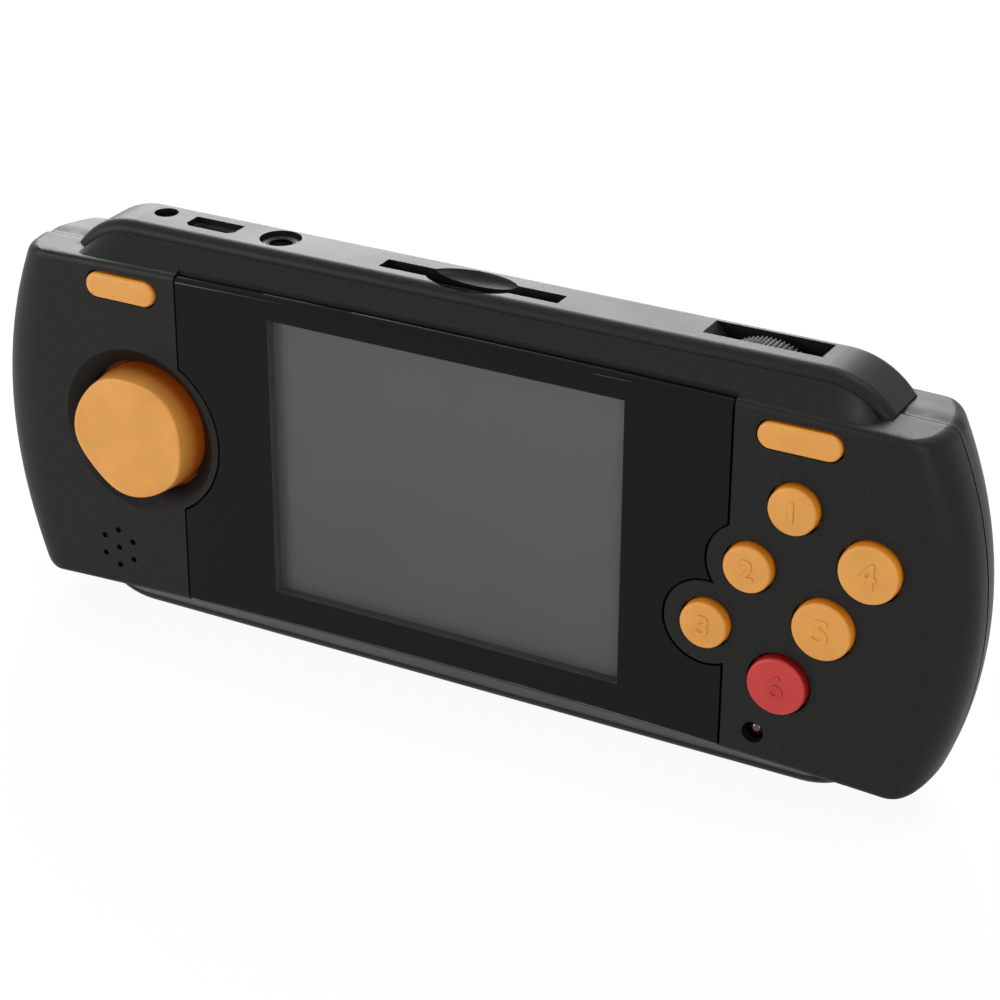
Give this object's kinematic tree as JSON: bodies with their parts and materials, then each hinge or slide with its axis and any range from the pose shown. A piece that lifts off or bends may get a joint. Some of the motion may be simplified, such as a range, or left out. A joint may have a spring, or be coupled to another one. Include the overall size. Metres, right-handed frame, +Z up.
{
  "type": "handheld game console",
  "caption": "Handheld game console: screen behind a glossy lens between a round direction pad and round push buttons, with sockets and a volume wheel on its top ridge.",
  "frame": {"origin": "middle of the flat underside of the lower ridge, at the middle of the overall box's floor", "axes": "+X to the right as the player sees it, +Y into the screen and out of the back, +Z up, out of the top ridge"},
  "size_m": [0.16, 0.0214, 0.0645],
  "materials": {
    "case_black": "fine texture",
    "lens_black": "gloss",
    "clear_window": "clear",
    "display_glass": "satin",
    "button_orange": "satin",
    "button_red": "satin",
    "wheel_black": "satin",
    "board_green": "satin",
    "key_rubber": "matte",
    "bright_metal": "satin",
    "gold_metal": "satin",
    "inner_plastic": "matte",
    "white_plastic": "satin",
    "amber_plastic": "satin",
    "foam": "matte",
    "light_red": "gloss",
    "battery_wrap": "satin"
  },
  "bodies": {
    "case": {"battery": "battery_wrap", "battery_contacts": "gold_metal", "battery_cover": "case_black", "battery_cover_screw": "bright_metal", "battery_light": "light_red", "card_socket": "bright_metal", "case_screws": "bright_metal", "charge_light": "light_red", "charge_light_holder": "inner_plastic", "data_port_shell": "bright_metal", "data_port_tongue": "inner_plastic", "front_shell": "case_black", "lcd_backlight": "white_plastic", "lcd_foam_strips": "foam", "lcd_glass": "display_glass", "lcd_ribbon": "amber_plastic", "lcd_tray": "bright_metal", "left_key_sheet": "key_rubber", "main_board": "board_green", "memory_chip": "inner_plastic", "power_switch_body": "bright_metal", "processor_chip": "inner_plastic", "rear_shell": "case_black", "right_key_sheet": "key_rubber", "screen_bezel": "lens_black", "screen_window": "clear_window", "speaker_basket": "bright_metal", "speaker_cone": "foam", "speaker_gasket": "foam", "video_jack_body": "inner_plastic", "video_jack_sleeve": "bright_metal", "volume_control": "inner_plastic"},
    "pad_rocker": {"direction_pad_pin": "inner_plastic"},
    "pad": {"direction_pad": "button_orange"},
    "reset": {"reset_button": "button_orange"},
    "start": {"start_button": "button_orange"},
    "wheel": {"volume_wheel": "wheel_black"},
    "power_knob": {"power_switch_knob": "inner_plastic"},
    "round_1": {"round_button_1": "button_orange"},
    "round_2": {"round_button_2": "button_orange"},
    "round_3": {"round_button_3": "button_orange"},
    "round_4": {"round_button_4": "button_orange"},
    "round_5": {"round_button_5": "button_orange"},
    "round_6": {"round_button_6": "button_red"}
  },
  "joints": [
    {"name": "reset_press", "type": "slide", "parent": "case", "child": "reset", "axis": [0, 1, 0], "range_m": [0, 0.001], "stiffness_N_per_m": 1500},
    {"name": "start_press", "type": "slide", "parent": "case", "child": "start", "axis": [0, 1, 0], "range_m": [0, 0.001], "stiffness_N_per_m": 1500},
    {"name": "round_1_press", "type": "slide", "parent": "case", "child": "round_1", "axis": [0, 1, 0], "range_m": [0, 0.001], "stiffness_N_per_m": 1500},
    {"name": "round_2_press", "type": "slide", "parent": "case", "child": "round_2", "axis": [0, 1, 0], "range_m": [0, 0.001], "stiffness_N_per_m": 1500},
    {"name": "round_3_press", "type": "slide", "parent": "case", "child": "round_3", "axis": [0, 1, 0], "range_m": [0, 0.001], "stiffness_N_per_m": 1500},
    {"name": "round_4_press", "type": "slide", "parent": "case", "child": "round_4", "axis": [0, 1, 0], "range_m": [0, 0.001], "stiffness_N_per_m": 1500},
    {"name": "round_5_press", "type": "slide", "parent": "case", "child": "round_5", "axis": [0, 1, 0], "range_m": [0, 0.001], "stiffness_N_per_m": 1500},
    {"name": "round_6_press", "type": "slide", "parent": "case", "child": "round_6", "axis": [0, 1, 0], "range_m": [0, 0.001], "stiffness_N_per_m": 1500},
    {"name": "pad_tilt_up_down", "type": "hinge", "parent": "case", "child": "pad_rocker", "pos_m": [-0.0528, -0.0032, 0.03265], "axis": [1, 0, 0], "range_deg": [-2.4, 2.4], "stiffness_Nm_per_rad": 0.3},
    {"name": "pad_tilt_left_right", "type": "hinge", "parent": "pad_rocker", "child": "pad", "pos_m": [-0.0528, -0.0032, 0.03265], "axis": [0, 0, 1], "range_deg": [-2.4, 2.4], "stiffness_Nm_per_rad": 0.3},
    {"name": "volume_turn", "type": "hinge", "parent": "case", "child": "wheel", "pos_m": [0.0452, 0.0028, 0.0559], "axis": [0, 1, 0], "range_deg": [-140, 140]},
    {"name": "power_slide", "type": "slide", "parent": "case", "child": "power_knob", "axis": [1, 0, 0], "range_m": [0, 0.003]}
  ]
}
